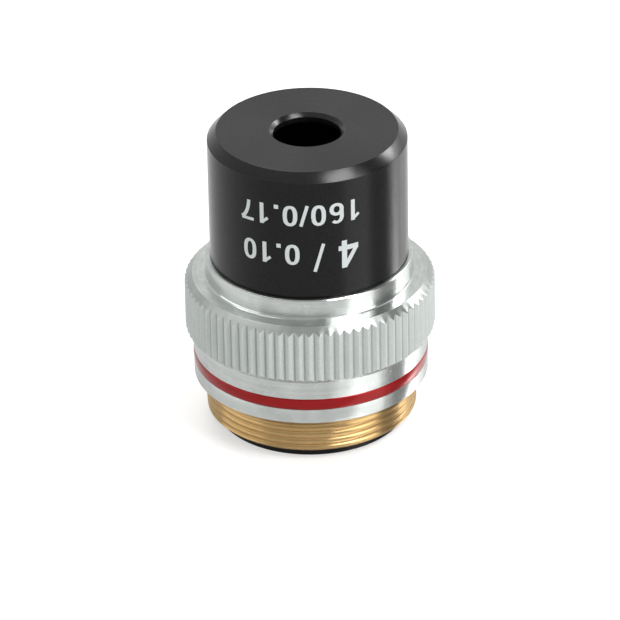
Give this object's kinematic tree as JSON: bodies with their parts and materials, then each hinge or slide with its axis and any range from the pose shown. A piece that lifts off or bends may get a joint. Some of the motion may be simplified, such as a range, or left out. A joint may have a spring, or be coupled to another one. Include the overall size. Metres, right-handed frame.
{
  "type": "microscope objective",
  "caption": "Low-power screw-in microscope objective: knurled grip collar, black nose sleeve, brass mounting thread and a cemented lens doublet held in an inner barrel.",
  "frame": {"origin": "centre of the rear ring's end face, on the optical axis, where the part stands", "axes": "+Z along the optical axis towards the nose, -Y towards the side with the numerals"},
  "size_m": [0.024, 0.024, 0.0303],
  "materials": {
    "black_anodised": "black anodised, satin",
    "bright_aluminium": "fine turned, satin",
    "red_enamel": "gloss enamel filling",
    "turned_brass": "fine turned",
    "blackened_brass": "chemically blackened, matt",
    "shim_brass": "rolled sheet",
    "crown_glass": "polished, thin coating",
    "flint_glass": "polished, thin coating",
    "pale_filling": "matt paint in the engraved numerals"
  },
  "bodies": {
    "root": {"nose_sleeve": "black_anodised", "grip_collar": "bright_aluminium", "colour_ring": "red_enamel", "core_barrel": "turned_brass", "rear_stop_ring": "black_anodised", "front_baffle": "black_anodised", "parfocal_shim": "shim_brass", "inner_barrel": "blackened_brass", "spacer_tube": "black_anodised", "lens_cell": "blackened_brass", "aperture_stop": "blackened_brass", "flint_lens": "flint_glass", "crown_lens": "crown_glass", "lens_retaining_ring": "blackened_brass", "stack_clamp_ring": "blackened_brass", "parfocal_lock_ring": "blackened_brass"}
  },
  "joints": []
}
